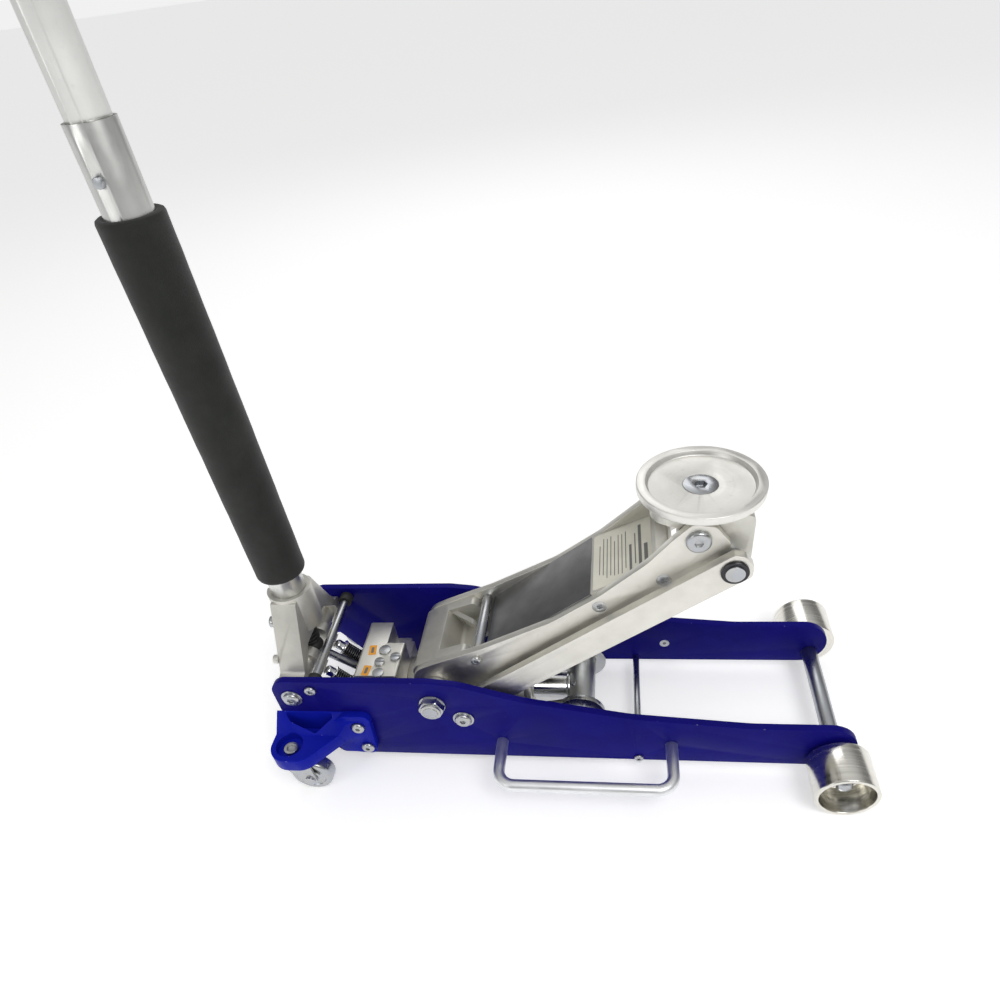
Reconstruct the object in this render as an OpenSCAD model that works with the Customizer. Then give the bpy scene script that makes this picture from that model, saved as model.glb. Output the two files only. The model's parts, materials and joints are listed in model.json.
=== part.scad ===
// Hydraulic floor jack, low-profile aluminium type.
// Millimetres, +Z up. +X is the front, where the two large wheels are.
// The origin is on the floor, below the middle of the jack's overall box.

/* [Chassis] */
// X of the front axle from the origin
front_axle_x = 290.6; // [285:0.1:300]
// Width over the two side plates
chassis_w = 158; // [156:1:170]
// Thickness of a side plate
plate_t = 8; // [6:0.5:9]
// Height of the side plates' bottom edge
plate_bottom = 15.5; // [13:0.5:20]
// Height of the side plates' rear half
plate_top = 142; // [136:1:150]

/* [Front wheels] */
// Wheel radius
wheel_r = 32; // [30:0.5:34]
// Wheel width
wheel_w = 46.7; // [40:0.1:50]
// Wall of the wheel's outer cup
wheel_wall = 4.6; // [4:0.1:8]

/* [Rear casters] */
// Caster wheel radius
caster_r = 24; // [20:0.5:24]
// Distance from the swivel axis to the caster's axle
caster_trail = 14; // [8:1:14]
// Distance of the swivel axis from the jack's middle
caster_y = 112; // [110:1:114]

/* [Lift arm] */
// Main pivot behind the front axle
pivot_back = 427.4; // [420:0.1:435]
// Height of the main pivot
pivot_z = 107.8; // [106:0.1:110]
// Pivot to saddle bolt
arm_len = 335; // [330:1:340]
// Angle of the raised arm as it stands
arm_angle = 36.5; // [30:0.5:40]
// Distance between the arm plates' inner faces
arm_inner_w = 88; // [88:1:92]

/* [Saddle] */
// Saddle radius
saddle_r = 57.5; // [52:0.5:58]
// Width of the saddle's flat rim
saddle_rim = 8.5; // [6:0.5:10]
// Depth of the saddle's recess
saddle_depth = 4.6; // [4:0.1:5]

/* [Handle] */
// Handle pivot behind the front axle
yoke_back = 586.5; // [585:0.1:588]
// Height of the handle pivot
yoke_z = 115; // [114:0.5:116]
// Lower tube radius
tube_r = 19; // [18:0.5:20]
// Foam sleeve radius
foam_r = 26.5; // [24:0.5:28]
// Height of the handle's top
handle_top = 1140; // [1000:10:1180]

/* [Hidden] */
$fn = 64;

// Colours
deep_blue = [0.07, 0.07, 0.42];
milled_silver = [0.82, 0.81, 0.77];
cast_silver = [0.74, 0.73, 0.69];
dark_grey = [0.32, 0.32, 0.33];
zinc = [0.70, 0.71, 0.72];
steel = [0.60, 0.61, 0.63];
rubber = [0.06, 0.06, 0.06];
foam = [0.13, 0.14, 0.12];

// Play: a pin in its bearing, and a fixed pin in its hole
run = 0.05;
// Gap between faces that slide past each other
slip = 0.2;

// Lateral stations, measured from the jack's middle
plate_out = chassis_w / 2;
plate_in = plate_out - plate_t;
inside = plate_in - 0.1;        // end of what stands between the plates
arm_in = arm_inner_w / 2;
arm_out = arm_in + 8;
link_in = arm_out + 5.2;
link_out = link_in + 9;
pull_in = 37.2;
pull_out = pull_in + 6;
wheel_in = plate_out + 4.3;

// Axes, as [X, Z] behind the front axle
main_at = [-pivot_back, pivot_z];
link_offset = [31, -24];
link_at = main_at + link_offset;
saddle_bolt_at = main_at + arm_len * [cos(arm_angle), sin(arm_angle)];
link_pin_at = saddle_bolt_at + link_offset;
yoke_at = [-yoke_back, yoke_z];
front_rod_at = [-206, 20];
rear_bar_at = [-560.5, 129];
caster_x = -592;

// Radii of the pins
main_r = 11;
bolt_r = 8;
link_pin_r = 8.5;
pull_pin_r = 8;

// Hydraulics
ram_z = 48.6;
ram_r = 15;
crosshead_x = -271;
cross_r = 16;
pull_arm = 52;                  // main pivot to pull pin
pull_lead = 5;                  // pull pin ahead of straight down, degrees
pull_at = main_at + pull_arm * [sin(pull_lead), -cos(pull_lead)];
block_back = -527;
block_front = -476;
block_top = 111;
plunger_y = 20.9;
plunger_dip = 48;               // plungers point this far below the horizontal
release_dip = 38;
plunger_r = 7;
cam_r = 22.5;
collar_at = 34.5;                // a plunger's collar, from the handle pivot
cam_rise = 12;
cam_turn = 75;

// ---- Helpers ----

function unit(v) = v / norm(v);

// Points of the arc of radius r that rounds corner p between a and b
function corner_arc(a, p, b, r, n) =
    let (ua = unit(a - p), ub = unit(b - p), half = acos(ua * ub) / 2,
         c = p + unit(ua + ub) * r / sin(half),
         s = p + ua * r / tan(half) - c, e = p + ub * r / tan(half) - c,
         a0 = atan2(s.y, s.x), turn = atan2(e.y, e.x) - a0,
         sweep = turn > 180 ? turn - 360 : turn < -180 ? turn + 360 : turn)
    [for (i = [0:n]) c + r * [cos(a0 + sweep * i / n), sin(a0 + sweep * i / n)]];

// Outline with corners [x, y, radius]; radius 0 is a sharp corner
function rounded(q, n = 8) = [for (i = [0:len(q) - 1])
    let (p = q[i], a = q[(i + len(q) - 1) % len(q)], b = q[(i + 1) % len(q)])
    each (p[2] == 0 ? [[p[0], p[1]]] :
          corner_arc([a[0], a[1]], [p[0], p[1]], [b[0], b[1]], p[2], n))];

// Everything is drawn behind the front axle, then moved to the origin
module jack() translate([front_axle_x, 0, 0]) children();

module both_sides() {
    children();
    mirror([0, 1, 0]) children();
}

// An XZ outline made a slab from y0 to y1
module slab(y0, y1) translate([0, y1, 0]) rotate([90, 0, 0]) linear_extrude(y1 - y0) children();

// A round bar along Y
module bar(at, r, y0, y1) translate([at[0], y0, at[1]]) rotate([-90, 0, 0]) cylinder(r = r, h = y1 - y0);

// A round bar along X
module bar_x(y, z, r, x0, x1) translate([x0, y, z]) rotate([0, 90, 0]) cylinder(r = r, h = x1 - x0);

// A ring along Y
module ring(at, r_in, r_out, y0, y1) difference() {
    bar(at, r_out, y0, y1);
    bar(at, r_in, y0 - 1, y1 + 1);
}

// A hexagon socket or bar along Y
module hex(at, flats, y0, y1) translate([at[0], y0, at[1]]) rotate([-90, 0, 0])
    cylinder(d = flats / cos(30), h = y1 - y0, $fn = 6);

// A domed button head on face y0 with its socket, shank inwards to y_end
module button_screw(at, head_r, head_h, shank_r, y0, y_end) difference() {
    union() {
        translate([at[0], y0, at[1]]) rotate([-90, 0, 0]) rotate_extrude()
            polygon(rounded([[0, 0, 0], [head_r, 0, 0], [head_r, head_h, head_h * 0.6], [0, head_h, 0]]));
        bar(at, shank_r, y_end, y0 + 0.1);
    }
    hex(at, head_r * 0.62, y0 + head_h - 2.6, y0 + head_h + 1);
}

// The arm's own frame: X along it from the main pivot, Z across it
module on_arm() translate([main_at[0], 0, main_at[1]]) rotate([0, -arm_angle, 0]) children();

// The frame of a line that dips from the handle pivot, with Z along it
module dipping(dip, y = 0) translate([yoke_at[0], y, yoke_at[1]]) rotate([0, 90 + dip, 0]) children();

// ---- Chassis ----

bracket_screws = [[-517.5, 75], [-514.5, 38.5]];
flange_t = 8;                   // caster bracket's flange on the side plate
handle_legs = [-357, -171.5];
handle_z = 45;

module side_plate() color(deep_blue) jack() difference() {
    slab(plate_in, plate_out) polygon(rounded([
        [-552, plate_bottom, 8], [18, plate_bottom, 29.5], [18, 75.5, 29.5], [-90, 75.5, 150],
        [-215, 88, 200], [-330, 113, 200], [-398, 138, 60], [-428, plate_top, 60],
        [-606.5, plate_top, 18], [-606.5, 91, 14]]));
    bar([0, wheel_r], 9 + run, plate_in - 1, plate_out + 1);
    bar(main_at, bolt_r + run, plate_in - 1, plate_out + 1);
    for (at = [link_at, yoke_at]) bar(at, 6 + run, plate_in - 1, plate_out + 1);
    for (at = [front_rod_at, rear_bar_at]) bar(at, 3 + run, plate_in - 1, plate_out + 1);
    for (at = bracket_screws) bar(at, 4 + run, plate_in - 1, plate_out + 1);
    for (x = handle_legs) {
        bar([x, handle_z], 3 + run, plate_in - 1, plate_out + 1);
        translate([x, plate_in - 0.01, handle_z]) rotate([-90, 0, 0])
            cylinder(r1 = 6.1, r2 = 3, h = 3.1);
    }
}
module side_plate_left() side_plate();
module side_plate_right() mirror([0, 1, 0]) side_plate();

module front_axle() color(steel) jack() {
    bar([0, wheel_r], 9, -plate_out - 1.5, plate_out + 1.5);
    both_sides() bar([0, wheel_r], 7, plate_out + 1, wheel_in + 27);
}

// Thrust washers and domed nuts
module wheel_nuts() color(zinc) jack() both_sides() {
    ring([0, wheel_r], 7 + run, 13, plate_out + 1.6, wheel_in - slip);
    difference() {
        union() {
            hex([0, wheel_r], 19, wheel_in + 22.2, wheel_in + 29);
            translate([0, wheel_in + 28.9, wheel_r]) rotate([-90, 0, 0]) rotate_extrude()
                polygon(rounded([[0, 0, 0], [8.6, 0, 0], [8.6, 7, 6], [0, 7, 0]]));
        }
        bar([0, wheel_r], 7 + run, wheel_in + 20, wheel_in + 27.1);
    }
}

module front_rod() color(zinc) jack() difference() {
    bar(front_rod_at, 4, -inside, inside);
    both_sides() bar(front_rod_at, 3 + run, inside - 14, inside + 1);
}

module rear_bar() color(zinc) jack() difference() {
    bar(rear_bar_at, 5, -inside, inside);
    both_sides() bar(rear_bar_at, 3 + run, inside - 14, inside + 1);
}

module rear_bumpers() color(rubber) jack() both_sides()
    ring(rear_bar_at, 5 + run, 7.8, 60, inside);

// Screws of the two cross bars and of the caster brackets
module plate_screws() color(zinc) jack() both_sides() {
    button_screw(front_rod_at, 5, 3.2, 3, plate_out, inside - 12);
    button_screw(rear_bar_at, 6.5, 4, 3, plate_out, inside - 12);
    for (at = bracket_screws) button_screw(at, 7.5, 4.5, 4, plate_out + flange_t, plate_in + 0.5);
}

// Shoulder bolts of the handle yoke and of the links
module pivot_bolts() color(zinc) jack() both_sides() for (at = [yoke_at, link_at]) {
    button_screw(at, 9.5, 5.5, 6, plate_out, plate_in - 1);
    bar(at, bolt_r, link_in - 1.2, inside);
}

// A lug over the swivel, two arms that rise to the side plate, and a screwed flange
lug_top = 73;
lug_r = 22;
module caster_bracket() color(deep_blue) jack() difference() {
    union() {
        difference() {
            translate([0, 0, 56]) linear_extrude(36) polygon(rounded([
                [-509, plate_out, 0], [-509, plate_out + flange_t, 3], [-530, plate_out + flange_t + 2, 12],
                [caster_x + lug_r, caster_y + lug_r, 21], [caster_x - lug_r, caster_y + lug_r, lug_r - 0.1],
                [caster_x - 20, plate_out, 0]]));
            // the top falls from the side plate to the lug
            translate([-640, 0, 0]) rotate([90, 0, 90]) linear_extrude(150) polygon([
                [plate_out - 1, 93], [plate_out + 2, 91], [plate_out + 19, lug_top], [160, lug_top], [160, 120],
                [plate_out - 1, 120]]);
        }
        slab(plate_out, plate_out + flange_t) polygon(rounded([
            [-549, 29, 8], [-506, 25, 9], [-502, 93, 9], [-532, 93, 5], [-560, 75, 0], [-560, 56, 4], [-549, 50, 8]]));
    }
    for (at = bracket_screws) bar(at, 4 + run, plate_out - 1, plate_out + 30);
    for (at = bracket_screws) bar(at, 9, plate_out + flange_t, plate_out + 30);
    translate([caster_x, caster_y, 50]) cylinder(r = 6 + run, h = 30);
    translate([caster_x, caster_y, 63]) cylinder(r = 15.5, h = 20);
    translate([0, 0, 60]) linear_extrude(50) polygon(rounded([
        [-603, plate_out + 1, 2], [-538, plate_out + 1, 3], [-566, plate_out + 18, 4], [-596, plate_out + 9, 3]]));
}
module caster_bracket_left() caster_bracket();
module caster_bracket_right() mirror([0, 1, 0]) caster_bracket();

module king_bolts() color(zinc) jack() both_sides() translate([caster_x, caster_y, 0]) difference() {
    union() {
        translate([0, 0, 63]) cylinder(r = 8, h = 5);
        translate([0, 0, 47.8]) cylinder(r = 6, h = 15.8);
        translate([0, 0, 47.8]) cylinder(r = 8.2, h = 1.4);
    }
    translate([0, 0, 65.4]) cylinder(d = 8 / cos(30), h = 5, $fn = 6);
}

module carry_handle() color(zinc) jack() {
    rod_r = 6.5;
    bend_r = 18;
    out_y = plate_out + 39;                     // where the bends start
    half = (handle_legs[1] - handle_legs[0]) / 2;
    translate([(handle_legs[0] + handle_legs[1]) / 2, 0, handle_z]) difference() {
        union() {
            for (s = [-1, 1]) {
                translate([s * half, plate_out, 0]) rotate([-90, 0, 0])
                    cylinder(r = rod_r, h = out_y - plate_out);
                translate([s * (half - bend_r), out_y, 0]) rotate([0, 0, s > 0 ? 0 : 90])
                    rotate_extrude(angle = 90) translate([bend_r, 0]) circle(rod_r);
            }
            bar_x(out_y + bend_r, 0, rod_r, bend_r - half, half - bend_r);
        }
        for (s = [-1, 1]) bar([s * half, 0], 3 + run, plate_out - 1, plate_out + 22);
    }
}
module carry_handle_left() carry_handle();
module carry_handle_right() mirror([0, 1, 0]) carry_handle();

module carry_handle_screws() color(zinc) jack() both_sides() for (x = handle_legs) difference() {
    union() {
        translate([x, plate_in, handle_z]) rotate([-90, 0, 0]) cylinder(r1 = 6, r2 = 2.95, h = 3.05);
        bar([x, handle_z], 3, plate_in + 0.1, plate_out + 20);
    }
    hex([x, handle_z], 4, plate_in - 1, plate_in + 2.2);
}

module main_axle() color(steel) jack() {
    bar(main_at, main_r, -inside, inside);
    both_sides() bar(main_at, bolt_r, inside - 1, plate_out + 12.5);
}

module main_nuts() color(zinc) jack() both_sides() difference() {
    union() {
        bar(main_at, 14.5, plate_out, plate_out + 1.6);
        intersection() {
            hex(main_at, 25, plate_out + 1.6, plate_out + 9.2);
            translate([main_at[0], plate_out, main_at[1]]) rotate([-90, 0, 0])
                cylinder(r1 = 18.6, r2 = 12.2, h = 11);
        }
        bar(main_at, 11, plate_out + 8, plate_out + 11.5);
    }
    bar(main_at, bolt_r + run, plate_out - 1, plate_out + 12);
}

// Bushes that centre the arm, and the links' smaller ones
module spacer_bushes() color(cast_silver) jack() both_sides() {
    ring(main_at, main_r + run, 15, arm_out + slip, inside);
    ring(link_at, bolt_r + run, 12, link_out + slip, inside);
}

// ---- Hydraulics ----

module pump_block() color(milled_silver) jack() difference() {
    union() {
        slab(-42.5, 42.5) polygon(rounded([
            [block_back, 28, 4], [block_front, 28, 4], [block_front, block_top, 3], [block_back, block_top, 3]]));
        for (s = [-1, 1]) dipping(plunger_dip, s * plunger_y) translate([0, 0, 67]) cylinder(r = 14.5, h = 30);
    }
    translate([-498, 9, 84]) cube([40, 60, 60]);
    // the pull plates pass these corners when the arm is down
    both_sides() translate([block_front - 4.4, 36.8, 38]) cube([6, 8, 46]);
    for (s = [-1, 1]) dipping(plunger_dip, s * plunger_y) translate([0, 0, 50])
        cylinder(r = plunger_r + run, h = 54);
    dipping(release_dip) translate([0, 0, 60]) cylinder(r = 5 + run, h = 38);
    for (q = plugs) translate([q[0], q[1], block_top - 8]) cylinder(r = 4 + run, h = 9);
}

// Round and slotted plugs in the block's top: [x, y, head radius, head height]
plugs = [[-498, -3, 7, 1.6], [-498, -38, 6.5, 1.6], [-483, -14, 6, 2.4], [-500, -22, 6, 2.4]];
module block_plugs() color(steel) jack() for (q = plugs) translate([q[0], q[1], block_top]) difference() {
    union() {
        cylinder(r = q[2], h = q[3]);
        translate([0, 0, -7.8]) cylinder(r = 4, h = 7.9);
    }
    if (q[3] > 2) translate([-8, -0.8, q[3] - 1.4]) cube([16, 1.6, 3]);
}

module tube_x(r_in, r_out, x0, x1) difference() {
    bar_x(0, ram_z, r_out, x0, x1);
    bar_x(0, ram_z, r_in, x0 - 1, x1 + 1);
}

module reservoir_tube() color(milled_silver) jack() tube_x(28.5, 31.5, block_front, -336);

module cylinder_tube() color(steel) jack() tube_x(17, 21, block_front, -336.2);

module cylinder_head() color(cast_silver) jack() difference() {
    union() {
        bar_x(0, ram_z, 31.5, -336, -328);
        bar_x(0, ram_z, 28.4, -342, -335.9);
        bar_x(0, ram_z, 20, -328.1, -326.3);
    }
    bar_x(0, ram_z, ram_r + run, -350, -320);
    bar_x(0, ram_z, 21.1, -345, -336);
}

// Stands at its fully compressed length
module return_spring() color(zinc) jack() tube_x(15.2, 16.8, -381, -336.4);

module plunger_glands() color(rubber) jack() for (s = [-1, 1]) dipping(plunger_dip, s * plunger_y)
    difference() {
        translate([0, 0, 58]) cylinder(d = 22 / cos(30), h = 9, $fn = 6);
        translate([0, 0, 50]) cylinder(r = plunger_r + run, h = 20);
    }

// ---- Wheels ----

module front_wheel() color(milled_silver) jack() translate([0, wheel_in, wheel_r]) rotate([-90, 0, 0])
    rotate_extrude($fn = 96) polygon(rounded([
        [7 + run, 0, 0], [wheel_r, 0, 1.6], [wheel_r, wheel_w, 1.6], [wheel_r - wheel_wall, wheel_w, 1.2],
        [wheel_r - wheel_wall, 15, 4], [13, 15, 2], [13, 22, 1], [7 + run, 22, 0]], 4));
module front_wheel_left() front_wheel();
module front_wheel_right() mirror([0, 1, 0]) front_wheel();

module caster_fork() color(zinc) jack() translate([caster_x, caster_y, 0]) difference() {
    union() {
        translate([0, 0, 53]) cylinder(r = 17, h = 2.8);
        translate([0, 0, 49.5]) cylinder(r = 15, h = 3.6);
        translate([0, -13.2, 49.5]) cube([caster_trail, 26.4, 3]);
        for (s = [-1, 1]) slab(s * 11.7 - 1.5, s * 11.7 + 1.5) polygon(rounded([
            [-12, 52.5, 2], [caster_trail - 8.5, caster_r - 8.5, 8], [caster_trail + 8.5, caster_r - 8.5, 8],
            [caster_trail + 6, 52.5, 3]]));
        bar([caster_trail, caster_r], 4, -15, 15);
        both_sides() bar([caster_trail, caster_r], 6, 13.1, 15.5);
    }
    translate([0, 0, 40]) cylinder(r = 6 + run, h = 20);
    translate([0, 0, 40]) cylinder(r = 9, h = 9.5);
}
module caster_fork_left() caster_fork();
module caster_fork_right() mirror([0, 1, 0]) caster_fork();

module caster_wheel() color(rubber) jack() translate([caster_x + caster_trail, caster_y - 9, caster_r])
    rotate([-90, 0, 0]) rotate_extrude() polygon(rounded([
        [4 + run, 0, 0], [8, 0, 0], [9, 1.5, 1], [16, 1.5, 1], [17, 0, 0.5], [caster_r, 0, 4],
        [caster_r, 18, 4], [17, 18, 0.5], [16, 16.5, 1], [9, 16.5, 1], [8, 18, 0], [4 + run, 18, 0]], 4));
module caster_wheel_left() caster_wheel();
module caster_wheel_right() mirror([0, 1, 0]) caster_wheel();

// ---- Lift arm, in its own frame ----

pull_on_arm = pull_arm * [sin(pull_lead - arm_angle), -cos(pull_lead - arm_angle)];
rod_on_arm = [66.5, 4.5];
casting_screws = [[217.6, -12.1], [285, -20.5]];

module arm_plate() color(milled_silver) jack() on_arm() difference() {
    slab(arm_in, arm_out) polygon(rounded([
        [-46, -58, 13], [-13, -60, 13], [8, -37, 30], [200, -37, 60], [302, -27, 60], [355, -26.5, 10],
        [355, 3, 9], [341, 17.5, 9], [318, 13.5, 30], [285, 5, 60], [225, -1, 60], [165, -0.5, 90], [80, 13, 120],
        [20, 27, 60], [-18, 34, 24], [-22, -6, 30]]));
    bar([0, 0], main_r + run, arm_in - 1, arm_out + 1);
    bar([arm_len, 0], bolt_r + run, arm_in - 1, arm_out + 1);
    bar(pull_on_arm, pull_pin_r + run, arm_in - 1, arm_out + 1);
    bar(rod_on_arm, 3 + run, arm_in - 1, arm_out + 1);
    for (at = casting_screws) {
        bar(at, 4 + run, arm_in - 1, arm_out + 1);
        translate([at[0], arm_out - 3.1, at[1]]) rotate([-90, 0, 0]) cylinder(r1 = 4, r2 = 7.2, h = 3.2);
    }
}
module arm_plate_left() arm_plate();
module arm_plate_right() mirror([0, 1, 0]) arm_plate();

casting_outline = [[-15, -12, 6], [-17, 8, 8], [-16, 24, 12], [-7, 31, 12], [22, 26, 30],
    [56, 16, 5], [59, -2, 4], [40, -12, 12], [0, -16, 12]];
module arm_rear_casting() color(cast_silver) jack() on_arm() difference() {
    union() {
        slab(-arm_in, arm_in) polygon(rounded(casting_outline));
        bar([0, 0], 17.5, -arm_in, arm_in);
    }
    bar([0, 0], main_r + run, -arm_in - 1, arm_in + 1);
    // pocket, with a sloping rib across it
    difference() {
        slab(-31, 31) polygon(rounded([[25, 50, 0], [25, -5, 5], [70, -5, 0], [70, 50, 0]]));
        translate([24, 36, 0]) rotate([0, 0, -43]) rotate([0, 11, 0])
            translate([-8, -2.5, -60]) cube([100, 5, 80]);
    }
}

module arm_floor_panel() color(dark_grey) jack() on_arm() slab(-arm_in, arm_in)
    polygon([[74, -3.5], [74, 0.4], [216, 0.6], [216, -3.4]]);

module arm_front_casting() color(cast_silver) jack() on_arm() difference() {
    slab(-arm_in, arm_in) polygon(rounded([
        [206, -25, 5], [206, -3.6, 0], [216.5, -3.6, 0], [216.5, 1.2, 0.5], [284, -13, 3], [294, -19, 3],
        [294, -29, 4], [226, -30, 5]]));
    both_sides() for (at = casting_screws) bar(at, 4 + run, 28, arm_in + 1);
}

module arm_cross_rod() color(zinc) jack() on_arm() difference() {
    bar(rod_on_arm, 5.75, -arm_in, arm_in);
    both_sides() bar(rod_on_arm, 3 + run, arm_in - 14, arm_in + 1);
}

// Pan-head screws of the cross rod and countersunk screws of the front casting
module arm_screws() color(zinc) jack() on_arm() both_sides() {
    button_screw(rod_on_arm, 6, 4, 3, arm_out, arm_in - 12);
    for (at = casting_screws) difference() {
        union() {
            translate([at[0], arm_out - 3, at[1]]) rotate([-90, 0, 0]) cylinder(r1 = 4, r2 = 7, h = 3);
            bar(at, 4, 30, arm_out - 2.9);
        }
        hex(at, 5, arm_out - 2.6, arm_out + 1);
    }
}

module pull_pins() color(steel) jack() both_sides() {
    bar(pull_at, pull_pin_r, pull_in - 1, arm_out);
    bar(pull_at, 11, pull_in - 2, pull_in - 0.3);
}

module saddle_bolt() color(zinc) jack() {
    bar(saddle_bolt_at, bolt_r, -arm_out, arm_out);
    both_sides() button_screw(saddle_bolt_at, 11.2, 4.8, 6, arm_out, arm_out - 1);
}

// ---- Links and saddle ----

module link_bar() color(milled_silver) jack() difference() {
    translate([link_at[0], 0, link_at[1]]) rotate([0, -arm_angle, 0]) slab(link_in, link_out)
        polygon(rounded([[-14, -14, 13.9], [arm_len + 9, -14, 6], [arm_len + 16.3, -4, 5], [arm_len + 16.3, 8, 5],
            [arm_len + 9, 16, 6], [-14, 16, 13.9]]));
    bar(link_at, bolt_r + run, link_in - 1, link_out + 1);
    bar(link_pin_at, link_pin_r + run, link_in - 1, link_out + 1);
}
module link_left() link_bar();
module link_right() mirror([0, 1, 0]) link_bar();

saddle_x = saddle_bolt_at[0] + 4.5;
saddle_top = saddle_bolt_at[1] + 27.9;
saddle_under = saddle_top - 8.5;
hub_r = 22;
hub_bottom = saddle_under - 5.5;

module saddle_bracket() color(cast_silver) jack() difference() {
    translate([saddle_bolt_at[0], 0, saddle_bolt_at[1]]) {
        slab(-43.2, 43.2) polygon(rounded([
            [-27, 19.1, 1], [47.5, 19.1, 6], [48, -41, 16], [14, -41, 16], [-17, -15, 14], [-17, 8, 5], [-27, 10, 1]]));
        // rear lobe of the flange below the saddle
        translate([0, 0, 9.9]) linear_extrude(9.2) polygon(rounded([
            [-41, -43.2, 20], [-20, -43.2, 0], [-20, 43.2, 0], [-41, 43.2, 20]]));
    }
    bar(saddle_bolt_at, bolt_r + run, -50, 50);
    bar(link_pin_at, link_pin_r + run, -50, 50);
    translate([saddle_x, 0, hub_bottom - 0.3]) cylinder(r = hub_r + 0.3, h = 20);
    translate([saddle_x, 0, hub_bottom - 4.2]) cylinder(r = bolt_r + run, h = 10);
}

// The pin through the links, and its two retaining rings
module link_pin() color(zinc) jack() {
    bar(link_pin_at, link_pin_r, -inside + 0.6, inside - 0.6);
    both_sides() ring(link_pin_at, link_pin_r, 11.75, link_out + slip, link_out + 2);
}

module saddle() color(milled_silver) jack() translate([saddle_x, 0, 0]) rotate_extrude($fn = 96) {
    floor_z = saddle_top - saddle_depth;
    polygon(rounded([
        [bolt_r + 0.3, hub_bottom, 0], [hub_r, hub_bottom, 0], [hub_r, saddle_under, 0],
        [saddle_r, saddle_under, 2], [saddle_r, saddle_top, 1.2], [saddle_r - saddle_rim, saddle_top, 0.6],
        [saddle_r - saddle_rim - 2, floor_z, 1], [16.05, floor_z, 0],
        [bolt_r + 0.3, floor_z - 7.7, 0]], 4));
}

module saddle_screw() color(zinc) jack() translate([saddle_x, 0, 0]) difference() {
    union() {
        translate([0, 0, saddle_top - saddle_depth - 7.7]) cylinder(r1 = bolt_r, r2 = 15.7, h = 7.7);
        translate([0, 0, hub_bottom - 4]) cylinder(r = bolt_r, h = 6);
    }
    translate([0, 0, saddle_top - saddle_depth - 5]) cylinder(d = 10.5 / cos(30), h = 8, $fn = 6);
}

// ---- Ram ----

piston_back = -434;
module ram() color(zinc) jack() {
    bar_x(0, ram_z, 17 - run, piston_back, piston_back + 20);
    bar_x(0, ram_z, ram_r, piston_back + 19, crosshead_x - 13);
    bar_x(0, ram_z, 8, crosshead_x - 14, crosshead_x - 1);
}

module crosshead() color(steel) jack() difference() {
    union() {
        bar([crosshead_x, ram_z], cross_r, -pull_in + 0.1, pull_in - 0.1);
        bar([crosshead_x, ram_z], 12, -pull_out, pull_out);
    }
    bar_x(0, ram_z, ram_r + run, crosshead_x - 20, crosshead_x - 13);
    bar_x(0, ram_z, 8 + run, crosshead_x - 20, crosshead_x);
}

// Slotted at the arm's pins, which rise and fall as the arm turns
slot_half = pull_pin_r + 1.3;
slot_x = pull_at[0] - 0.3;
slot_low = pull_at[1] - 0.9;
slot_high = pull_at[1] + 12.5;
module pull_plates() color(zinc) jack() both_sides() difference() {
    union() {
        slab(pull_in, pull_out) polygon(rounded([
            [slot_x - 18, 38, 12], [slot_x + 22, 38, 12], [-350, 34, 40], [-310, 30, 40], [-271, 30, 10],
            [-271, 74, 10], [-300, 66, 30], [-340, 60, 30], [slot_x + 26, 66, 20], [slot_x + 18, 83, 10],
            [slot_x - 18, 83, 10]]));
        bar([crosshead_x, ram_z], 28, pull_in, pull_out);
    }
    bar([crosshead_x, ram_z], 12 + run, pull_in - 1, pull_out + 1);
    for (z = [slot_low, slot_high]) bar([slot_x, z], slot_half, pull_in - 1, pull_out + 1);
    translate([slot_x - slot_half, pull_in - 1, slot_low]) cube([2 * slot_half, 8, slot_high - slot_low]);
}

// ---- Handle ----

eye_in = 56;
eye_out = 69.6;

// Spiral cam: its radius grows evenly with the angle that the handle is pulled back
function cam(a) = cam_r + cam_rise * min(1.05, max(0, (-plunger_dip - a) / cam_turn));

module yoke() color(cast_silver) jack() translate([yoke_at[0], 0, 0]) difference() {
    union() {
        // inverted V of the legs, with round eyes at their feet
        rotate([90, 0, 90]) translate([0, 0, -14.5]) linear_extrude(29) polygon(rounded([
            [-24, 206, 3], [24, 206, 3], [59, 134, 6], [eye_out, 131, 3], [eye_out, yoke_z, 0],
            [eye_in, yoke_z, 0], [eye_in, 128, 8], [30, 152, 10], [-30, 152, 10], [-eye_in, 128, 8],
            [-eye_in, yoke_z, 0], [-eye_out, yoke_z, 0], [-eye_out, 131, 3], [-59, 134, 6]]));
        both_sides() bar([0, yoke_z], 17, eye_in, eye_out);
        translate([0, 0, 160]) cylinder(r = 24, h = 50);
        both_sides() {
            bar([0, yoke_z], 9.5, 14.4, eye_in + 1);
            bar([0, yoke_z], 16, 14.4, 27.4);
            translate([0, 0, yoke_z]) slab(14.4, 27.4)
                polygon(concat([[0, 0]], [for (a = [-138:6:-24]) cam(a) * [cos(a), sin(a)]]));
        }
        bar_x(-50, 147, 5, -20, -14);
    }
    bar([0, yoke_z], bolt_r + run, eye_in - 0.4, eye_out + 1);
    mirror([0, 1, 0]) bar([0, yoke_z], bolt_r + run, eye_in - 0.4, eye_out + 1);
    translate([0, 0, 166]) cylinder(r = tube_r + run, h = 60);
    translate([0, 0, 140]) cylinder(r = 9.3, h = 40);
    bar_x(-26, 182, 4 + run, -30, 10);
    // slit beside the clamp bolt
    translate([-30, -1.2, 171]) cube([14, 2.4, 50]);
}

module clamp_bolt() color(zinc) jack() difference() {
    union() {
        bar_x(-26, 182, 6.5, yoke_at[0] - 20.5, yoke_at[0] - 14.5);
        bar_x(-26, 182, 4, yoke_at[0] - 15, yoke_at[0] + 9);
    }
    translate([yoke_at[0] - 21, -26, 182]) rotate([0, 90, 0]) cylinder(d = 6 / cos(30), h = 4, $fn = 6);
}

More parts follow.
